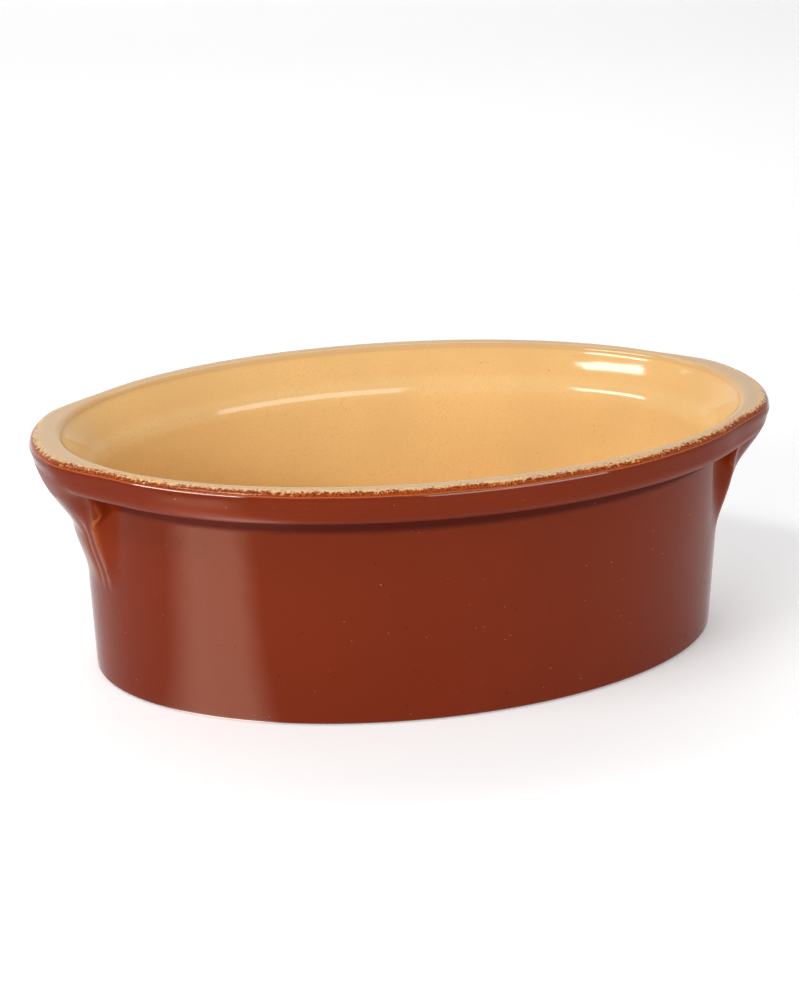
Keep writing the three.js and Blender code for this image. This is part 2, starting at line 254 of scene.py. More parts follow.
def foot_rows(dish):
    """From the foot's edge up the wall to where the lugs begin."""
    foot = arc(-dish.wall_taper - dish.foot_radius, dish.foot_radius, dish.foot_radius, -90, 0, ROUND_STEPS)
    for i, share in enumerate(FOOT_COAT, FOOT_BARE_ROWS):
        foot[i] = foot[i]._replace(coat=share)
    base = Row(wall_lean(dish, dish.lug_foot), dish.lug_foot)
    return foot + between(foot[-1], base, FOOT_WALL_STEPS)


def lug_rows(dish):
    """From the lugs' foot up the wall, through the groove to the top of the collar's lower edge."""
    groove = groove_foot(dish)
    rows = [Row(wall_lean(dish, dish.lug_foot), dish.lug_foot)]
    rows += between(rows[0], Row(0.0, groove), LUG_WALL_STEPS)
    hollow = arc(dish.groove_radius, groove, dish.groove_radius, 180, 90, ROUND_STEPS, GROOVE_EARS)
    centre = (dish.collar_overhang - dish.collar_lower, underside(dish) + dish.collar_lower)
    lower = arc(*centre, dish.collar_lower, -90, 0, ROUND_STEPS, COLLAR_EARS)
    rows += hollow + between(hollow[-1], lower[0], UNDERSIDE_STEPS)
    corner = len(rows)
    rows += lower
    last = len(rows) - 1
    return [r._replace(lug=(i / last, i / corner)) for i, r in enumerate(rows)]


def rim_rows(dish):
    """The collar's face, the rim's outer edge, its top and inner edge, and the row where the coats meet."""
    low = Row(dish.collar_overhang, underside(dish) + dish.collar_lower, COLLAR_EARS[1])
    upper_out = dish.collar_overhang - dish.collar_upper
    upper_height = dish.rim_height - dish.collar_upper
    corner = (upper_out, upper_height, dish.collar_upper)
    ears = (1.0, 1.0)
    outer = arc(*corner, 0, SEAM_ANGLE - SEAM_HOLD, EDGE_STEPS, ears)
    outer += arc(*corner, SEAM_ANGLE, SEAM_ANGLE + SEAM_HOLD, 1, ears)
    outer += arc(*corner, SEAM_ANGLE + SEAM_HOLD, 90, EDGE_STEPS, ears)[1:]
    inner_out = dish.collar_overhang - dish.rim_width + dish.rim_inner
    inner = arc(inner_out, dish.rim_height - dish.rim_inner, dish.rim_inner, 90, FLARE_ANGLE, EDGE_STEPS)
    inner = [r._replace(flare=1.0) for r in inner]
    face = between(low, outer[0], RIM_STEPS)
    top = between(outer[-1], inner[0], RIM_STEPS)
    rows = face + outer + top + inner
    seam = rows.index(outer[EDGE_STEPS + 1])
    marked = {seam: 0.0}
    for step in (-1, 1):
        away, i = 0.0, seam
        while 0 <= i + step < len(rows):
            away += math.hypot(rows[i + step].out - rows[i].out, rows[i + step].height - rows[i].height)
            i += step
            marked[i] = step * away
    return [r._replace(rim=marked[i]) for i, r in enumerate(rows)], seam


def liner_rows(dish, edge):
    """From under the rim down the flare, over the shoulder, down the wall and round to the floor."""
    shoulder_height = dish.rim_height - dish.flare_depth
    top = Row(-dish.wall_thickness + SHOULDER_OUT, shoulder_height, flare=SHOULDER_FLARE)
    low_height = dish.floor_thickness + dish.floor_corner
    low = Row(-dish.wall_thickness - dish.wall_taper, low_height)
    reach = dish.shoulder_radius
    start = mix_rows(edge, top, 1.0 - reach / math.hypot(edge.out - top.out, edge.height - top.height))
    end = mix_rows(top, low, reach / (top.height - low.height))
    cove = mix_rows(edge, start, 0.5)
    cove = cove._replace(out=cove.out - FLARE_HOLLOW)
    rows = bend(edge, cove, start, ROUND_STEPS) + bend(start, top, end, ROUND_STEPS)
    rows += between(end, low, LINER_STEPS)
    corner_out = low.out - dish.floor_corner
    rows += arc(corner_out, low_height, dish.floor_corner, 0, -90, CORNER_STEPS)
    return [r._replace(rim=FAR) for r in rows]


def bend(first, control, last, steps):
    """Rows along a curve from one row to another, drawn to a row between; the first is left out."""
    shares = [i / steps for i in range(1, steps + 1)]
    return [mix_rows(mix_rows(first, control, s), mix_rows(control, last, s), s) for s in shares]


def dish_columns(dish):
    """All columns round the dish: close together on the lugs, wider apart on the sides."""
    fluted = dish.flutes_per_side * dish.flute_width
    front = dish.lug_half_width - fluted
    stations = [mix(-front, front, i / FRONT_COLUMNS) for i in range(FRONT_COLUMNS + 1)]
    flutes = (front, fluted, dish.flutes_per_side * FLUTE_COLUMNS)
    flank = (dish.lug_half_width, dish.lug_flank, FLANK_COLUMNS)
    for start, width, steps in (flutes, flank):
        for i in range(1, steps + 1):
            reach = start + width * i / steps
            stations = [-reach] + stations + [reach]
    edge = math.asin(stations[-1] / dish.wall_half_width)
    columns = []
    for turn in (0.0, math.pi):
        for station in stations:
            columns.append(dish_column(dish, turn + math.asin(station / dish.wall_half_width), station))
        for i in range(1, SIDE_COLUMNS):
            share = i / SIDE_COLUMNS - SIDE_CROWDING * math.sin(2.0 * math.pi * i / SIDE_COLUMNS)
            columns.append(dish_column(dish, turn + mix(edge, math.pi - edge, share), None))
    return columns


def dish_column(dish, angle, station):
    """The column at an angle round the oval."""
    along = dish.wall_half_length * math.cos(angle)
    across = dish.wall_half_width * math.sin(angle)
    normal_x = along / dish.wall_half_length**2
    normal_y = across / dish.wall_half_width**2
    size = math.hypot(normal_x, normal_y)
    return Column(along, across, normal_x / size, normal_y / size, math.copysign(1.0, along), station)


def clay_point(dish, column, r):
    """A point of the clay without its lugs."""
    away = abs(column.across + dish.collar_overhang * column.normal_y)
    ear = 1.0 - smooth(away, dish.ear_half_width, dish.ear_half_width + dish.ear_blend)
    x = column.along + r.out * column.normal_x
    x += r.ear * dish.ear_reach * ear * column.end
    x += r.flare * dish.flare_end_reach * column.along / dish.wall_half_length
    return x, column.across + r.out * column.normal_y, r.height


def flank_share(dish, station):
    """1 on a lug's face, running out to 0 at the foot of its flank."""
    beyond = abs(station) - dish.lug_half_width
    return 1.0 - min(max(beyond / dish.lug_flank, 0.0), 1.0)


def front_reach(dish, height, top):
    """How much of the way from the wall to the collar a lug's front has gone at a height."""
    swell = smooth(height, dish.lug_foot, dish.lug_swell_height)
    lip = smooth(height, dish.lug_lip_low, dish.lug_lip_high)
    close = smooth(height, top - dish.lug_top_blend, top)
    rest = 1.0 - LUG_SWELL_SHARE - LUG_LIP_SHARE
    return LUG_SWELL_SHARE * swell + LUG_LIP_SHARE * lip + rest * close


def carried_point(dish, column, top, height, reach):
    """The wall at a column and a height, carried out towards the collar."""
    top_x, top_y, _ = clay_point(dish, column, top)
    x, y, z = clay_point(dish, column, Row(wall_lean(dish, height), height))
    return mix(x, top_x, reach), mix(y, top_y, reach), z


def flute_fade(dish, height):
    """1 where the flutes are full, 0 below and above them."""
    low = smooth(height, dish.lug_foot, dish.lug_foot + dish.flute_fade)
    return low * (1.0 - smooth(height, dish.flute_top - dish.flute_fade, dish.flute_top))


def corner_point(dish, column, r, top, bare):
    """A point of a lug's corner: out from the wall, then in a straight run to the collar's underside."""
    if r.lug[1] >= 1.0:
        return bare
    under = underside(dish)
    height = mix(dish.lug_foot, under, min(r.lug[1], LUG_CORNER_RUN))
    reach = LUG_CORNER_SHARE * smooth(height, dish.lug_foot, dish.lug_corner_height)
    point = carried_point(dish, column, top, height, reach)
    if r.lug[1] <= LUG_CORNER_RUN:
        return point
    end = clay_point(dish, column, Row(dish.collar_overhang - dish.collar_lower, under, COLLAR_EARS[0]))
    run = (r.lug[1] - LUG_CORNER_RUN) / (1.0 - LUG_CORNER_RUN)
    return tuple(mix(a, b, run) for a, b in zip(point, end))


def lug_point(dish, column, r, top, bare):
    """A point of a lug's face: its front profile, passing to its corner profile towards the sides."""
    height = mix(dish.lug_foot, top.height, r.lug[0])
    front = carried_point(dish, column, top, height, front_reach(dish, height, top.height))
    corner = corner_point(dish, column, r, top, bare)
    aside = min(abs(column.station) / dish.lug_half_width, 1.0) ** dish.lug_squareness
    x, y, z = (mix(a, b, aside) for a, b in zip(front, corner))
    beside = abs(column.station) - dish.lug_half_width + dish.flutes_per_side * dish.flute_width
    if 0.0 < beside <= dish.flutes_per_side * dish.flute_width:
        wave = abs(math.sin(math.pi * beside / dish.flute_width))
        x -= column.end * dish.flute_depth * wave * flute_fade(dish, z)
    return x, y, z


# A knuckle's place across the flank: where it rises, where it falls, and the line along its edge
KNUCKLE_RISE, KNUCKLE_FALL, KNUCKLE_EDGE = (0.2, 0.6), (0.75, 1.0), (0.45, 0.7)


def knuckle_swell(dish, height):
    """How far a knuckle has swollen at a height: steep below, running out above."""
    middle = (dish.knuckle_low + dish.knuckle_high) / 2.0
    swell = smooth(height, dish.knuckle_low, dish.knuckle_low + dish.knuckle_undercut)
    return swell * (1.0 - smooth(height, middle, dish.knuckle_high))


def dressed_point(dish, column, r, top):
    """A point of the clay with its lugs on."""
    bare = clay_point(dish, column, r)
    if column.station is None or r.lug is None:
        return bare
    share = flank_share(dish, column.station)
    face = lug_point(dish, column, r, top, bare)
    x, y, z = (mix(a, b, share) for a, b in zip(bare, face))
    swell = knuckle_swell(dish, face[2]) * smooth(share, *KNUCKLE_RISE) * (1.0 - smooth(share, *KNUCKLE_FALL))
    return x, y + math.copysign(dish.knuckle_reach * swell, column.across), z


# Where the coat pools in the groove and takes a painted shade there, thins, dulls or softens, and where the
# flank's hollow takes a painted shade: spans of length in metres, or shares of a lug's rows
FLANK_EDGE, FLANK_TOP = 0.4, (0.86, 0.98)
POOL_SHADE_START, POOL_SHADE_END = (-0.0008, 0.0002), (1.0, 1.12)
ROLL_FACE, ROLL_LOW = (0.0035, 0.006), (0.95, 1.05)
SOFT_SIDE, SOFT_COLLAR, SOFT_TOP, SOFT_START = (-0.005, -0.0005), (0.0022, 0.0063), (0.93, 1.0), (0.0, 0.1)
SOFT_FLUTES, SOFT_EDGE, SOFT_FOOT, SOFT_GROOVE = 0.14, (-0.0005, 0.0015), (0.45, 0.9), 0.002
# The amber of the ribs, the width of its line, and its share on the left and the right lug
RIB_AMBER, RIB_LINE, AMBER_SHARE = 0.7, 0.00032, {-1.0: 1.0, 1.0: 0.35}


def flank_at(dish, column, r):
    """1 in the hollow of a lug's flank, where the coat is dulled and takes a painted shade, running out on
    the wall, below it and under the collar.
    """
    if r.lug is None:
        return 0.0
    beyond = abs(column.across) - dish.lug_half_width
    hollow = smooth(beyond, 0.0, FLANK_EDGE * dish.lug_flank)
    hollow *= 1.0 - smooth(beyond, dish.lug_flank, dish.lug_flank + dish.flank_runout)
    hollow *= smooth(corner_height(dish, r), dish.lug_foot, dish.lug_swell_height)
    return hollow * (1.0 - smooth(r.lug[1], *FLANK_TOP))


def pool_shade_at(dish, column, r):
    """How deep the coat has pooled at a point, and how much painted shade darkens it there: 1 in the groove
    under the collar, 0 off it and on the lugs.
    """
    if r.lug is None or r.height < dish.lug_foot:
        return 0.0
    pool_shade = smooth(r.height, *(groove_foot(dish) + end for end in POOL_SHADE_START))
    pool_shade *= 1.0 - smooth(r.lug[1], *POOL_SHADE_END)
    return pool_shade if column.station is None else pool_shade * (1.0 - flank_share(dish, column.station))


def roll_at(dish, column, r):
    """1 on the rounded lower edge of the collar, running out on its face."""
    if r.lug is None:
        return smooth(-r.rim, *ROLL_FACE) * (-FAR < r.rim < 0.0)
    return smooth(r.lug[1], *ROLL_LOW)


def knuckle_at(dish, column, r):
    """How far a knuckle stands out at a point, from 0 to 1."""
    swell = knuckle_swell(dish, corner_height(dish, r))
    return swell * smooth(flank_share(dish, column.station), *KNUCKLE_EDGE)


def soften_at(dish, column, r):
    """How far a point takes part in softening a lug's edges and its run into the collar's face."""
    if r.height < dish.lug_foot:
        return 0.0
    beyond = abs(column.across) - dish.lug_half_width
    if r.lug is None:
        return (1.0 - smooth(beyond, *SOFT_SIDE)) * smooth(-r.rim, *SOFT_COLLAR) * (r.rim > -FAR)
    above = smooth(corner_height(dish, r), dish.flute_top - dish.flute_fade, dish.flute_top)
    face = mix(SOFT_FLUTES, 1.0, above) * (1.0 - smooth(beyond, *SOFT_EDGE))
    foot = smooth(beyond, *(share * dish.lug_flank for share in SOFT_FOOT))
    foot *= 1.0 - smooth(beyond, dish.lug_flank, dish.lug_flank + dish.flank_runout)
    groove = groove_foot(dish)
    foot *= 1.0 - smooth(r.height, groove - SOFT_GROOVE, groove + SOFT_GROOVE)
    under = 1.0 - smooth(r.lug[0], *SOFT_TOP) * smooth(beyond, *SOFT_SIDE)
    return max(face, foot) * under * smooth(r.lug[0], *SOFT_START)


def crest_at(dish, column, r):
    """How far the coat runs thin at a point: most on the ribs, a lug's corners and the knuckle's edge."""
    if column.station is None or r.lug is None:
        return 0.0
    fluted = dish.flutes_per_side * dish.flute_width
    beside = abs(column.station) - dish.lug_half_width + fluted
    if beside < -dish.flute_width / 2.0:
        return 0.0
    if beside > fluted:
        away = beside - fluted
    else:
        away = abs((beside + dish.flute_width / 2.0) % dish.flute_width - dish.flute_width / 2.0)
    height = corner_height(dish, r)
    rib = RIB_AMBER * flute_fade(dish, height) * math.exp(-((away / RIB_LINE) ** 2))
    knuckle = knuckle_at(dish, column, r)
    if beside < fluted or height > (dish.knuckle_low + dish.knuckle_high) / 2.0:
        knuckle = 0.0
    return AMBER_SHARE[column.end] * max(rib, (4.0 * knuckle * (1.0 - knuckle)) ** 3)


# Meshes


def ring_parts(made):
    """The new vertices of an extruded ring and the edges that join them."""
    verts = [g for g in made if isinstance(g, bmesh.types.BMVert)]
    known = set(verts)
    edges = [g for g in made if isinstance(g, bmesh.types.BMEdge) and known.issuperset(g.verts)]
    return verts, edges


def oval_sheet(dish, rows):
    """A sheet carried round the dish, a ring of vertices to each row, with the edges of its two open ends."""
    columns = dish_columns(dish)
    top = lug_rows(dish)[-1]
    bm = bmesh.new()
    layers = bm.verts.layers
    at = layers.int.new("column")
    level = layers.int.new("row")
    rim, coat, flare = (layers.float.new(name) for name in ("rim", "coat", "flare"))
    shades = {"crest": crest_at, "flank": flank_at, "pool_shade": pool_shade_at, "roll": roll_at, "soften": soften_at}
    shades = {layers.float.new(name): shade for name, shade in shades.items()}
    verts = bmesh.ops.create_circle(bm, cap_ends=False, radius=1.0, segments=len(columns))["verts"]
    for index, vert in enumerate(verts):
        vert[at] = index
    edges = bm.edges[:]
    first = edges
    for index, r in enumerate(rows):
        if index:
            verts, edges = ring_parts(bmesh.ops.extrude_edge_only(bm, edges=edges)["geom"])
        for vert in verts:
            column = columns[vert[at]]
            vert.co = dressed_point(dish, column, r, top)
            vert[level] = index
            vert[rim] = 1000.0 * r.rim
            for layer, shade in shades.items():
                vert[layer] = shade(dish, column, r)
            vert[coat] = r.coat
            vert[flare] = min(2.0 * r.flare, 1.0)
    return bm, first, edges


def close_middle(bm, edges, rings):
    """Carries a ring inwards on the level and closes it in the middle."""
    for i in range(rings, 0, -1):
        verts, edges = ring_parts(bmesh.ops.extrude_edge_only(bm, edges=edges)["geom"])
        if i == 1:
            middle = Vector((0.0, 0.0, verts[0].co.z))
            bmesh.ops.pointmerge(bm, verts=verts, merge_co=middle)
        else:
            share = (i - 1) / i
            bmesh.ops.scale(bm, vec=(share, share, 1.0), verts=verts)


def face_outwards(bm, probe, direction):
    """Turns the sheet over if the face nearest a probe looks the wrong way."""
    bm.normal_update()
    bm.faces.ensure_lookup_table()
    near = min(bm.faces, key=lambda face: (face.calc_center_median() - probe).length)
    if near.normal.dot(direction) < 0.0:
        bmesh.ops.reverse_faces(bm, faces=bm.faces[:])
        bm.normal_update()


def wall_outwards(bm, dish):
    """Turns a sheet of the dish so that its front wall looks to the front."""
    face_outwards(bm, Vector((0.0, -dish.wall_half_width, dish.lug_foot)), Vector((0.0, -1.0, 0.0)))


def smooth_object(name, bm, material):
    """A smooth-shaded object from a finished bmesh."""
    mesh = bpy.data.meshes.new(name)
    bm.to_mesh(mesh)
    bm.free()
    for polygon in mesh.polygons:
        polygon.use_smooth = True
    mesh.materials.append(material)
    made = bpy.data.objects.new(name, mesh)
    bpy.context.scene.collection.objects.link(made)
    return made


def new_piece(name, bm, material, slot, *nodes):
    """A piece of the dish from a finished bmesh, standing for its nodes of the frame."""
    piece = smooth_object(name, bm, material)
    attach(piece, "root")
    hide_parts(*nodes)
    return piece


def coat_sheet(dish):
    """The surface of both coats in one sheet, and the row at which they meet."""
    outside = foot_rows(dish)[FOOT_BARE_ROWS:] + lug_rows(dish)
    rim, seam = rim_rows(dish)
    rows = outside + rim + liner_rows(dish, rim[-1])
    bm, _, edges = oval_sheet(dish, rows)
    close_middle(bm, edges, COAT_RINGS)
    wall_outwards(bm, dish)
    share = bm.verts.layers.float["coat"]
    for vert in bm.verts:
        vert.co += vert.normal * dish.coat * vert[share]
    return bm, len(outside) + seam


def keep_rows(bm, wanted):
    """Keeps the faces whose lowest row is wanted."""
    level = bm.verts.layers.int["row"]
    spare = [face for face in bm.faces if not wanted(min(vert[level] for vert in face.verts))]
    bmesh.ops.delete(bm, geom=spare, context="FACES")


SOFTEN_FACTOR, SOFTEN_ROUNDS = 0.5, 40


def soften_lugs(piece):
    """Rounds off the edges of the lugs and runs them smoothly into the collar."""
    group = piece.vertex_groups.new(name="soften")
    for index, share in enumerate(piece.data.attributes["soften"].data):
        if share.value > 0.0:
            group.add([index], share.value, "REPLACE")
    relax = piece.modifiers.new("soften", "SMOOTH")
    relax.vertex_group = group.name
    relax.factor, relax.iterations = SOFTEN_FACTOR, SOFTEN_ROUNDS


def lug_sheet(dish, end):
    """A lug of one end: its face, and behind it the patch of clay that it is luted to."""
    columns, rows = dish_columns(dish), lug_rows(dish)
    bm, _, _ = oval_sheet(dish, rows)
    at, level = (bm.verts.layers.int[name] for name in ("column", "row"))

    def clay(vert):
        return Vector(clay_point(dish, columns[vert[at]], rows[vert[level]]))

    def stands_off(face):
        here = [columns[vert[at]] for vert in face.verts]
        if any(column.station is None or column.end != end for column in here):
            return False
        return any((vert.co - clay(vert)).length > TOUCH for vert in face.verts)

    bmesh.ops.delete(bm, geom=[face for face in bm.faces if not stands_off(face)], context="FACES")
    made = bmesh.ops.extrude_face_region(bm, geom=bm.faces[:], use_keep_orig=True)["geom"]
    for vert in (g for g in made if isinstance(g, bmesh.types.BMVert)):
        vert.co = clay(vert)
    bmesh.ops.remove_doubles(bm, verts=bm.verts[:], dist=TOUCH)
    bmesh.ops.recalc_face_normals(bm, faces=bm.faces[:])
    return bm


def thicken(piece, dish):
    """Gives a coat its thickness, inwards from its surface."""
    shell = piece.modifiers.new("coat", "SOLIDIFY")
    shell.thickness = dish.coat
    shell.offset = -1.0


# Materials

# Noise in the coats and the clay: its scale, its detail and its roughness
RIM_SLOW, RIM_FAST = (55.0, 2.0), (750.0, 5.0, 0.8)
RUST_GRAIN, RIM_SPECKS = (1500.0, 3.0, 0.7), (1000.0, 3.0, 0.7)
BROWN_CLOUD, BROWN_GRAIN = (28.0, 3.0), (1300.0, 2.0, 0.6)
BROWN_WAVES, AMBER_BREAK = (70.0, 2.0), (260.0, 2.0)
CREAM_CLOUD, CREAM_GRAIN, CREAM_WAVES = (24.0, 3.0), (1400.0, 3.0, 0.65), (60.0, 2.0)
CLAY_CLOUD, CLAY_GRAIN = (40.0, 4.0), (1800.0, 3.0, 0.7)
# Flecks: the cells to a metre, a fleck's size in its cell, and the share of the cells that hold one
BROWN_FLECKS = {"Scale": 400.0, "Size": 0.13, "Share": 0.22}
PINHOLES = {"Scale": 430.0, "Size": 0.1, "Share": 0.24}
CREAM_FLECKS = {"Scale": 420.0, "Size": 0.15, "Share": 0.06}
CLAY_FLECKS = {"Scale": 500.0, "Size": 0.2, "Share": 0.07}
# Bumps: their strength and their height
GLAZE_BUMP, CLAY_BUMP = (0.25, 0.0006), (0.5, 0.0002)
# What each channel of a coat's colour is multiplied by
BROWN_CLOUDED, CREAM_CLOUDED, CREAM_SPECK = (0.8, 0.8, 0.8), (0.92, 0.92, 0.92), (0.9, 0.83, 0.74)
RIM_OCHRE, FLARE_TINT = (0.8, 0.7, 0.58), (0.95, 0.85, 0.73)
CLAY_DARK, CLAY_LIGHT = (0.72, 0.72, 0.72), (1.2, 1.2, 1.2)


class Nodes:
    """Places and links the nodes of one material or group."""

    def __init__(self, tree):
        self.tree = tree
        self.count = 0

    def add(self, kind, inputs=None, **settings):
        """A new node with its settings and inputs."""
        made = self.tree.nodes.new(kind)
        made.location = (220 * (self.count % 8), -260 * (self.count // 8))
        self.count += 1
        for name, value in settings.items():
            setattr(made, name, value)
        for name, value in (inputs or {}).items():
            self.feed(made.inputs[name], value)
        return made

    def feed(self, socket, value):
        """Links a socket to another, or sets its value."""
        if isinstance(value, bpy.types.NodeSocket):
            self.tree.links.new(value, socket)
        else:
            socket.default_value = value

    def math(self, operation, *values):
        made = self.add("ShaderNodeMath", operation=operation)
        for socket, value in zip(made.inputs, values):
            self.feed(socket, value)
        return made.outputs[0]

    def blend(self, share, first, last, blend_type="MIX"):
        made = self.add("ShaderNodeMix", data_type="RGBA", blend_type=blend_type)
        for name, value in (("Factor_Float", share), ("A_Color", first), ("B_Color", last)):
            self.feed(next(s for s in made.inputs if s.identifier == name), value)
        return next(s for s in made.outputs if s.identifier == "Result_Color")

    def step(self, value, low, high):
        """0 at low, 1 at high and an even S between; low may be the greater."""
        made = self.add("ShaderNodeMapRange", interpolation_type="SMOOTHSTEP")
        self.feed(made.inputs["Value"], value)
        self.feed(made.inputs["From Min"], low)
        self.feed(made.inputs["From Max"], high)
        return made.outputs["Result"]

    def noise(self, place, scale, detail=2.0, roughness=0.5):
        made = self.add(
            "ShaderNodeTexNoise",
            {"Vector": place, "Scale": scale, "Detail": detail, "Roughness": roughness},
        )
        return made.outputs["Fac"]


def new_group(name, inputs, outputs):
    """An empty node group that takes a place and named values, and puts out named values."""
    group = bpy.data.node_groups.new(name, "ShaderNodeTree")
    group.interface.new_socket("Vector", in_out="INPUT", socket_type="NodeSocketVector")
    for way, sockets in (("INPUT", inputs), ("OUTPUT", outputs)):
        for socket in sockets:
            group.interface.new_socket(socket, in_out=way, socket_type="NodeSocketFloat")
    nodes = Nodes(group)
    return nodes, nodes.add("NodeGroupInput").outputs, nodes.add("NodeGroupOutput").inputs


def fleck_group():
    """Round flecks scattered at random: a share of the cells of a given size holds one."""
    known = bpy.data.node_groups.get("Flecks")
    if known:
        return known
    nodes, given, result = new_group("Flecks", ("Scale", "Size", "Share"), ("Mask",))
    cells = nodes.add("ShaderNodeTexVoronoi", {"Vector": given["Vector"], "Scale": given["Scale"]})
    chance = nodes.add("ShaderNodeSeparateColor", {"Color": cells.outputs["Color"]})
    chosen = nodes.math("LESS_THAN", chance.outputs[0], given["Share"])
    size = nodes.math("MULTIPLY", given["Size"], nodes.math("ADD", chance.outputs[1], 0.35))
    inner = nodes.math("MULTIPLY", size, 0.55)
    round_mask = nodes.step(cells.outputs["Distance"], size, inner)
    nodes.feed(result["Mask"], nodes.math("MULTIPLY", chosen, round_mask))
    return nodes.tree


def rim_group():
    """Where the two coats meet: the cream breaks up over a rust band, which ends in a thin bright line."""
    known = bpy.data.node_groups.get("Rim break")
    if known:
        return known
    nodes, given, result = new_group("Rim break", ("Rim",), ("Cream", "Rust", "Line"))
    place = given["Vector"]
    slow = nodes.math("SUBTRACT", nodes.noise(place, *RIM_SLOW), 0.5)
    fast = nodes.math("SUBTRACT", nodes.noise(place, *RIM_FAST), 0.5)
    ragged = nodes.math("ADD", nodes.math("MULTIPLY", slow, 1.6), nodes.math("MULTIPLY", fast, 6.5))
    upper = nodes.math("ADD", given["Rim"], ragged)
    nodes.feed(result["Cream"], nodes.step(upper, 0.6, 1.1))
    steady = nodes.math("ADD", nodes.math("MULTIPLY", slow, 0.5), nodes.math("MULTIPLY", fast, 0.5))
    lower = nodes.math("ADD", given["Rim"], steady)
    nodes.feed(result["Rust"], nodes.step(lower, -0.66, -0.42))
    ridge = nodes.math("ABSOLUTE", nodes.math("ADD", lower, 0.66))
    nodes.feed(result["Line"], nodes.step(ridge, 0.26, 0.05))
    return nodes.tree


def new_material(name):
    """A new material: itself, its nodes, its shader and its Object coordinates."""
    material = bpy.data.materials.new(name)
    material.use_nodes = True
    nodes = Nodes(material.node_tree)
    shader = material.node_tree.nodes["Principled BSDF"]
    place = nodes.add("ShaderNodeTexCoord").outputs["Object"]
    return material, nodes, shader, place


def use_group(nodes, group, inputs):
    """Places a node group in a material."""
    return nodes.add("ShaderNodeGroup", inputs, node_tree=group).outputs


def flecks_in(nodes, place, kind):
    """A mask of one kind of fleck."""
    return use_group(nodes, fleck_group(), {"Vector": place, **kind})["Mask"]


def toned(base, shares):
    """A colour with its channels multiplied, as a socket takes it."""
    return (*(min(1.0, share * channel) for share, channel in zip(shares, base)), 1)


def dress(nodes, shader, tone, rough, height, bump):
    """Feeds a shader its colour, its roughness and its bump."""
    strength, distance = bump
    made = nodes.add("ShaderNodeBump", {"Strength": strength, "Distance": distance, "Height": height})
    for name, value in (("Base Color", tone), ("Roughness", rough), ("Normal", made.outputs["Normal"])):
        nodes.feed(shader.inputs[name], value)


def attribute(nodes, name):
    """A value that the mesh holds at its vertices."""
    return nodes.add("ShaderNodeAttribute", attribute_name=name).outputs["Fac"]


def rim_colours(nodes, place, base, finish):
    """The break at the rim's edge, the same in both coats: its band, the mask of the cream and its edge."""
    rim = use_group(nodes, rim_group(), {"Vector": place, "Rim": attribute(nodes, "rim")})
    grain = nodes.noise(place, *RUST_GRAIN)
    rust = nodes.blend(nodes.step(grain, 0.36, 0.62), (*finish.rust_deep, 1), (*finish.rust, 1))
    tinted = nodes.blend(rim["Line"], base, (*finish.amber, 1))
    banded = nodes.blend(rim["Rust"], tinted, rust)
    specks = nodes.math("MULTIPLY", nodes.step(nodes.noise(place, *RIM_SPECKS), 0.52, 0.66), 0.7)
    edge = nodes.blend(specks, toned(finish.cream, RIM_OCHRE), (*finish.rust, 1))
    return banded, rim["Cream"], edge


# Where the brown coat is less glossy: the attribute, the power that spreads it and the roughness added
DULLED = (("crest", 0.25, 0.45), ("roll", 1.0, 0.3), ("pool_shade", 1.0, 0.6), ("flank", 1.0, 0.6))


def brown_glaze(finish):
    """Gloss red-brown glaze with iron flecks, pinholes, an amber break on the ribs, and painted shade in the
    groove under the collar and in the hollows of the lugs' flanks.
    """
    material, nodes, shader, place = new_material("Brown glaze")
    cloud = nodes.noise(place, *BROWN_CLOUD)
    grain = nodes.noise(place, *BROWN_GRAIN)
    tone = nodes.blend(nodes.step(cloud, 0.35, 0.65), toned(finish.brown, BROWN_CLOUDED), (*finish.brown, 1))
    tone = nodes.blend(nodes.math("MULTIPLY", grain, 0.35), (*finish.brown, 1), tone)
    broken = nodes.step(nodes.noise(place, *AMBER_BREAK), 0.2, 0.5)
    crest = nodes.math("MULTIPLY", attribute(nodes, "crest"), broken)
    # Painted shade: the coat turns darker where it pools in the groove under the collar
    tone = nodes.blend(attribute(nodes, "pool_shade"), tone, (*finish.brown_pool_shade, 1))
    # Painted shade and bounced light in the hollow of each lug's flank
    flank_hollow_shade = nodes.math("MULTIPLY", attribute(nodes, "flank"), 0.8)
    tone = nodes.blend(flank_hollow_shade, tone, (*finish.flank_hollow_shade, 1))
    tone = nodes.blend(crest, tone, (*finish.amber, 1))
    banded, cream, edge = rim_colours(nodes, place, tone, finish)
    tone = nodes.blend(cream, banded, edge)
    tone = nodes.blend(flecks_in(nodes, place, BROWN_FLECKS), tone, (*finish.fleck, 1))
    pins = flecks_in(nodes, place, PINHOLES)
    tone = nodes.blend(nodes.math("MULTIPLY", pins, 0.6), tone, (*finish.pinhole, 1))
    rough = nodes.math("MULTIPLY_ADD", cloud, 0.04, 0.05)
    for name, power, added in DULLED:
        spread = nodes.math("POWER", attribute(nodes, name), power)
        rough = nodes.math("MULTIPLY_ADD", spread, added, rough)
    shader.inputs["Specular IOR Level"].default_value = 0.2
    shader.inputs["Specular Tint"].default_value = (1.0, 0.66, 0.46, 1.0)
    shader.inputs["Coat Roughness"].default_value = 0.06
    rim_away = attribute(nodes, "rim")
    thin = nodes.math("MULTIPLY", nodes.step(rim_away, -0.6, 0.0), 0.6)
    nodes.feed(shader.inputs["Coat Weight"], nodes.math("SUBTRACT", nodes.step(rim_away, -1.7, -0.9), thin))
    height = nodes.math("MULTIPLY_ADD", grain, 0.01, nodes.noise(place, *BROWN_WAVES))
    height = nodes.math("SUBTRACT", height, nodes.math("MULTIPLY", pins, 0.08))
    dress(nodes, shader, tone, rough, height, GLAZE_BUMP)
    return material


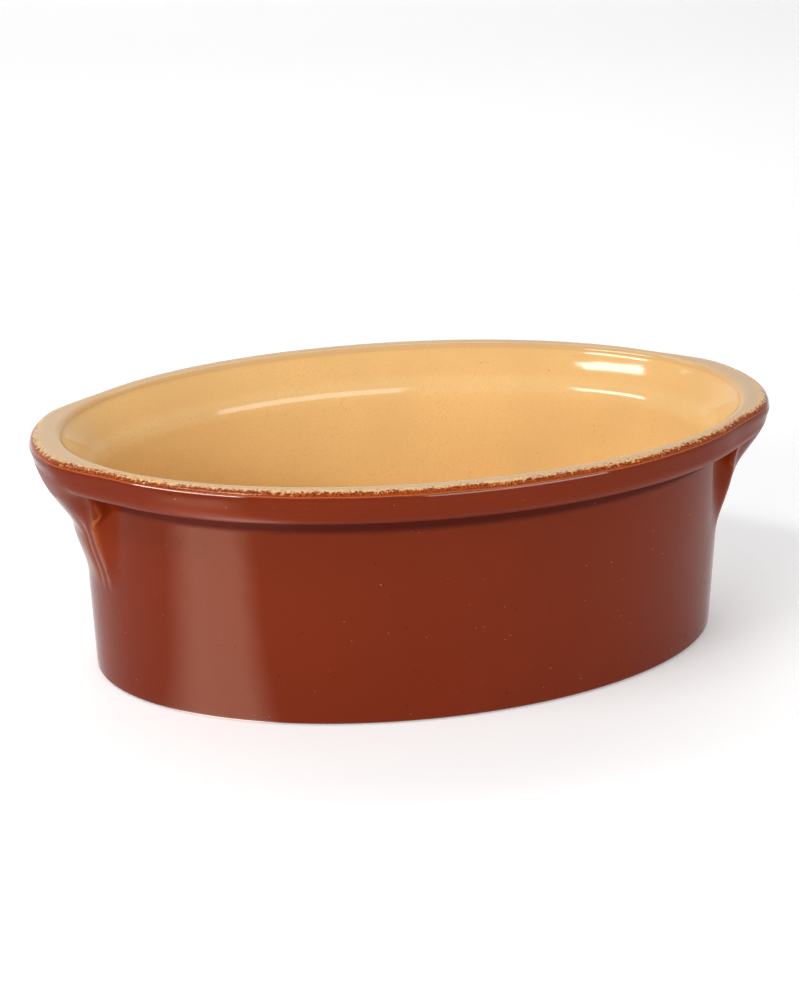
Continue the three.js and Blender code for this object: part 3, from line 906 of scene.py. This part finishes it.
def cream_glaze(finish):
    """Gloss ochre cream glaze with fine flecks, toned on the rim by its thin coat and a painted shade, and
    broken at its outer edge.
    """
    material, nodes, shader, place = new_material("Cream glaze")
    cloud = nodes.noise(place, *CREAM_CLOUD)
    grain = nodes.noise(place, *CREAM_GRAIN)
    tone = nodes.blend(nodes.step(cloud, 0.3, 0.7), toned(finish.cream, CREAM_CLOUDED), (*finish.cream, 1))
    tone = nodes.blend(nodes.step(grain, 0.5, 0.72), tone, toned(finish.cream, CREAM_SPECK))
    tone = nodes.blend(attribute(nodes, "flare"), tone, (*FLARE_TINT, 1), "MULTIPLY")
    rim_away = attribute(nodes, "rim")
    # The rim's tone: partly the thin coat, partly painted shade
    thin = nodes.math("SUBTRACT", 1.0, nodes.step(rim_away, 2.0, 9.0))
    tone = nodes.blend(nodes.math("MULTIPLY", thin, 0.8), tone, (*finish.rim_cream_and_shade, 1))
    flecks = flecks_in(nodes, place, CREAM_FLECKS)
    tone = nodes.blend(nodes.math("MULTIPLY", flecks, 0.35), tone, (*finish.rust, 1))
    banded, cream, edge = rim_colours(nodes, place, tone, finish)
    inside = nodes.step(rim_away, 1.3, 2.8)
    near = nodes.blend(inside, edge, tone)
    tone = nodes.blend(cream, banded, near)
    rough = nodes.math("MULTIPLY_ADD", cloud, 0.05, 0.07)
    shader.inputs["Specular IOR Level"].default_value = 0.5
    height = nodes.math("MULTIPLY_ADD", grain, 0.012, nodes.noise(place, *CREAM_WAVES))
    dress(nodes, shader, tone, rough, height, GLAZE_BUMP)
    return material


def bare_clay(finish):
    """Matt fired clay with a sandy grain and a few iron flecks."""
    material, nodes, shader, place = new_material("Bare clay")
    cloud = nodes.noise(place, *CLAY_CLOUD)
    grain = nodes.noise(place, *CLAY_GRAIN)
    tone = nodes.blend(nodes.step(cloud, 0.3, 0.7), toned(finish.clay, CLAY_DARK), (*finish.clay, 1))
    tone = nodes.blend(nodes.math("MULTIPLY", grain, 0.5), tone, toned(finish.clay, CLAY_LIGHT))
    flecks = flecks_in(nodes, place, CLAY_FLECKS)
    tone = nodes.blend(nodes.math("MULTIPLY", flecks, 0.8), tone, (*finish.fleck, 1))
    rough = nodes.math("MULTIPLY_ADD", grain, 0.15, 0.78)
    dress(nodes, shader, tone, rough, grain, CLAY_BUMP)
    return material


# Operators


class DISH_OT_clay_body(bpy.types.Operator):
    """Make the pressed clay dish with its rolled collar and its bare foot"""

    bl_idname = "dish.clay_body"
    bl_label = "Clay body"

    def execute(self, context):
        dish = context.scene.dish_shape
        rim, _ = rim_rows(dish)
        rows = foot_rows(dish) + lug_rows(dish) + rim + liner_rows(dish, rim[-1])
        rows = [r._replace(lug=None) for r in rows]
        bm, first, edges = oval_sheet(dish, rows)
        close_middle(bm, edges, FLOOR_RINGS)
        close_middle(bm, first, FOOT_RINGS)
        wall_outwards(bm, dish)
        new_piece("clay_body", bm, bare_clay(context.scene.dish_finish), "bare_clay", "stoneware_body")
        return {"FINISHED"}


class DISH_OT_lugs(bpy.types.Operator):
    """Make the two fluted clay lugs luted to the wall and to the ears"""

    bl_idname = "dish.lugs"
    bl_label = "Lugs"

    def execute(self, context):
        dish = context.scene.dish_shape
        clay = bare_clay(context.scene.dish_finish)
        for side, end in (("left", -1.0), ("right", 1.0)):
            new_piece(f"{side}_lug_clay", lug_sheet(dish, end), clay, "lug_clay", f"{side}_lug")
        return {"FINISHED"}


class DISH_OT_outer_coat(bpy.types.Operator):
    """Make the red-brown coat over the wall, the collar and the lugs"""

    bl_idname = "dish.outer_coat"
    bl_label = "Outer coat"

    def execute(self, context):
        dish = context.scene.dish_shape
        bm, seam = coat_sheet(dish)
        keep_rows(bm, lambda level: level < seam)
        glaze = brown_glaze(context.scene.dish_finish)
        piece = new_piece("brown_coat", bm, glaze, "brown_glaze", "outer_glaze")
        soften_lugs(piece)
        thicken(piece, dish)
        return {"FINISHED"}


class DISH_OT_liner_coat(bpy.types.Operator):
    """Make the cream coat over the rim and the inside"""

    bl_idname = "dish.liner_coat"
    bl_label = "Liner coat"

    def execute(self, context):
        dish = context.scene.dish_shape
        bm, seam = coat_sheet(dish)
        keep_rows(bm, lambda level: level >= seam)
        glaze = cream_glaze(context.scene.dish_finish)
        piece = new_piece("cream_coat", bm, glaze, "cream_glaze", "liner_glaze")
        thicken(piece, dish)
        return {"FINISHED"}


class DISH_OT_stage(bpy.types.Operator):
    """Make the pale floor, the soft light and the camera"""

    bl_idname = "dish.stage"
    bl_label = "Stage"

    def execute(self, context):
        scene = context.scene
        make_floor(scene.dish_stage)
        make_sky(scene, scene.dish_stage)
        for name, azimuth, elevation, distance, *size in SOFTBOXES:
            a, e = math.radians(azimuth), math.radians(elevation)
            back = Vector((math.sin(a) * math.cos(e), -math.cos(a) * math.cos(e), math.sin(e)))
            make_softbox(name, AIM + back * distance, AIM, *size)
        make_softbox(*BACKDROP_LAMP)
        make_camera(scene)
        scene.view_settings.view_transform = "Standard"
        return {"FINISHED"}


# Each soft lamp's name, azimuth and elevation in degrees, distance, width, height and radiance
SOFTBOXES = (
    ("left_softbox", -56.0, 25.0, 1.5, 0.93, 0.22, 14.3),
    ("high_softbox", -62.0, 57.0, 1.5, 0.58, 0.2, 17.0),
    ("right_softbox", 26.0, 16.0, 1.5, 1.07, 0.38, 4.4),
    ("back_softbox", 170.0, 55.0, 1.5, 0.8, 0.6, 1.0),
)
# The backdrop's lamp: its name, its place, what it looks at, its width, height and radiance
BACKDROP_LAMP = ("backdrop_lamp", (0.0, 0.9, 2.0), (0.0, 1.7, 0.0), 3.0, 0.6, 2.0)
AIM = Vector((0.0, 0.0, 0.05))
SWEEP_START, SWEEP_RADIUS, SWEEP_HEIGHT, SWEEP_REACH, SWEEP_STEPS = 1.4, 0.6, 2.5, 4.0, 12


def make_floor(stage):
    """A pale floor that sweeps up into a backdrop behind the dish."""
    profile = [(-SWEEP_REACH, 0.0), (SWEEP_START, 0.0)]
    for i in range(1, SWEEP_STEPS + 1):
        turn = math.radians(90.0 * i / SWEEP_STEPS)
        profile.append((SWEEP_START + SWEEP_RADIUS * math.sin(turn), SWEEP_RADIUS * (1.0 - math.cos(turn))))
    profile.append((profile[-1][0], SWEEP_HEIGHT))
    bm = bmesh.new()
    line = [bm.verts.new((-SWEEP_REACH, y, z)) for y, z in profile]
    edges = [bm.edges.new(pair) for pair in zip(line, line[1:])]
    verts, _ = ring_parts(bmesh.ops.extrude_edge_only(bm, edges=edges)["geom"])
    bmesh.ops.translate(bm, verts=verts, vec=(2.0 * SWEEP_REACH, 0.0, 0.0))
    face_outwards(bm, Vector((0.0, 0.0, 0.0)), Vector((0.0, 0.0, 1.0)))
    smooth_object("floor", bm, floor_finish(stage))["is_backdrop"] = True


def floor_finish(stage):
    """Matt white that keeps the shadow, glows a little where it is seen, and glows in a patch that only the
    glaze's mirror sees: a painted reflection.
    """
    material, nodes, shader, spot = new_material("Floor")
    shader.inputs["Base Color"].default_value = (*stage.floor, 1.0)
    shader.inputs["Roughness"].default_value = 0.7
    shader.inputs["Specular IOR Level"].default_value = 0.1
    shader.inputs["Emission Color"].default_value = (1.0, 1.0, 1.0, 1.0)
    path = nodes.add("ShaderNodeLightPath").outputs
    seen = nodes.math("MAXIMUM", path["Is Camera Ray"], path["Is Glossy Ray"])
    seen = nodes.math("MAXIMUM", seen, path["Is Transmission Ray"])
    glow = nodes.math("MULTIPLY", seen, stage.glow)
    # Painted reflection: the patch glows only for glossy rays
    painted_patch = nodes.math("MULTIPLY", painted_reflection_patch(nodes, spot), path["Is Glossy Ray"])
    nodes.feed(shader.inputs["Emission Strength"], nodes.math("MULTIPLY_ADD", painted_patch, stage.painted_reflection_glow, glow))
    return material


# The patch of floor that paints a reflection on the glaze: its corner, the angles where it is full and where
# it ends, and its fading reach
PATCH_CORNER, PATCH_FULL, PATCH_ENDS, PATCH_REACH = -0.012, (35.0, 44.5), (22.0, 54.0), (0.25, 0.35)


def painted_reflection_patch(nodes, place):
    """A mask of the patch of floor in front of the dish's left end, in the shape of a sector, that glows only
    in glossy rays as a painted reflection.
    """
    parts = nodes.add("ShaderNodeSeparateXYZ", {"Vector": place}).outputs
    along = nodes.math("SUBTRACT", PATCH_CORNER, parts["X"])
    across = nodes.math("MULTIPLY", parts["Y"], -1.0)
    angle = nodes.math("ARCTAN2", across, along)
    away = nodes.add("ShaderNodeVectorMath", {0: place}, operation="LENGTH").outputs["Value"]
    mask = nodes.step(away, *reversed(PATCH_REACH))
    for full, end in zip(PATCH_FULL, PATCH_ENDS):
        mask = nodes.math("MULTIPLY", mask, nodes.step(angle, math.radians(end), math.radians(full)))
    return mask


def make_sky(scene, stage):
    """Even white light from all round."""
    world = bpy.data.worlds.new("Studio")
    world.use_nodes = True
    background = world.node_tree.nodes["Background"]
    background.inputs["Color"].default_value = (1.0, 1.0, 1.0, 1.0)
    background.inputs["Strength"].default_value = stage.sky
    scene.world = world


def make_softbox(name, place, aim, width, height, radiance):
    """A rectangular soft lamp that looks from its place at a point."""
    lamp = bpy.data.lights.new(name, "AREA")
    lamp.shape = "RECTANGLE"
    lamp.size, lamp.size_y = width, height
    lamp.energy = radiance * math.pi * width * height
    softbox = bpy.data.objects.new(name, lamp)
    softbox.location = place
    softbox.rotation_mode = "QUATERNION"
    softbox.rotation_quaternion = (Vector(place) - Vector(aim)).to_track_quat("Z", "Y")
    bpy.context.scene.collection.objects.link(softbox)


# The camera: its tilt, turn and roll in radians, its place, and its lens and sensor in millimetres
CAMERA_TURNS = (0.3914628, 0.2129495, -0.0079625)
CAMERA_PLACE = (-0.120522, -0.541949, 0.279968)
LENS, SENSOR, CLIP_START, CLIP_END = 63.29, 36.0, 0.01, 20.0


def make_camera(scene):
    """A camera that sees the dish as the photograph does."""
    tilt, turn, roll = CAMERA_TURNS
    right = Vector((math.cos(turn), -math.sin(turn), 0.0))
    up = Vector((math.sin(turn) * math.sin(tilt), math.cos(turn) * math.sin(tilt), math.cos(tilt)))
    side = right * math.cos(roll) + up * math.sin(roll)
    rise = up * math.cos(roll) - right * math.sin(roll)
    lens = bpy.data.cameras.new("camera")
    lens.lens, lens.sensor_width = LENS, SENSOR
    lens.clip_start, lens.clip_end = CLIP_START, CLIP_END
    camera = bpy.data.objects.new("camera", lens)
    place = Matrix((side, rise, side.cross(rise))).transposed().to_4x4()
    place.translation = CAMERA_PLACE
    camera.matrix_world = place
    scene.collection.objects.link(camera)
    scene.camera = camera


class DISH_PT_panel(bpy.types.Panel):
    """Lists the pieces of the dish and their settings"""

    bl_idname = "DISH_PT_panel"
    bl_label = "Oval baking dish"
    bl_space_type = "VIEW_3D"
    bl_region_type = "UI"
    bl_category = "Dish"

    def draw(self, context):
        for operator in PIECES:
            self.layout.operator(operator.bl_idname)
        for group in ("dish_shape", "dish_finish", "dish_stage"):
            box = self.layout.box()
            settings = getattr(context.scene, group)
            for name in settings.bl_rna.properties.keys():
                if name not in ("rna_type", "name"):
                    box.prop(settings, name)


PIECES = (DISH_OT_clay_body, DISH_OT_lugs, DISH_OT_outer_coat, DISH_OT_liner_coat, DISH_OT_stage)
GROUPS = {"dish_shape": DishShape, "dish_finish": DishFinish, "dish_stage": DishStage}


def register():
    for cls in (*GROUPS.values(), *PIECES, DISH_PT_panel):
        bpy.utils.register_class(cls)
    for name, cls in GROUPS.items():
        setattr(bpy.types.Scene, name, PointerProperty(type=cls))


def unregister():
    for name in GROUPS:
        delattr(bpy.types.Scene, name)
    for cls in reversed((*GROUPS.values(), *PIECES, DISH_PT_panel)):
        bpy.utils.unregister_class(cls)


def main():
    register()
    bpy.ops.dish.clay_body()
    bpy.ops.dish.lugs()
    bpy.ops.dish.outer_coat()
    bpy.ops.dish.liner_coat()
    bpy.ops.dish.stage()


if __name__ == "__main__":
    main()
